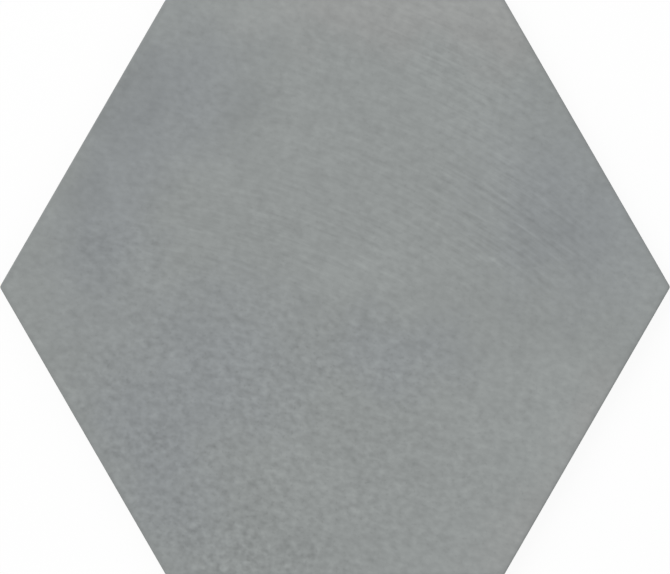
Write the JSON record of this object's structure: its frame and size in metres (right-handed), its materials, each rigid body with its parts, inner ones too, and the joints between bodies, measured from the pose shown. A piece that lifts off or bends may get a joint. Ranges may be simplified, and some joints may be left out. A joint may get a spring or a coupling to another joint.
{
  "type": "hexagon floor tile",
  "caption": "Flat regular hexagonal floor tile with a matt, mottled blue-grey face, softened face edges, upright sides and a honeycomb of shallow keying cells on its back.",
  "frame": {"origin": "middle of the hexagon, in the plane of the ribs of the back, on which the tile lies", "axes": "+X towards one of the six corners, +Y across two opposite sides, +Z out of the walked-on face"},
  "size_m": [0.2652, 0.23, 0.009],
  "materials": {
    "glazed_stoneware": "matte"
  },
  "bodies": {
    "root": {"hexagon_tile": "glazed_stoneware"}
  },
  "joints": []
}
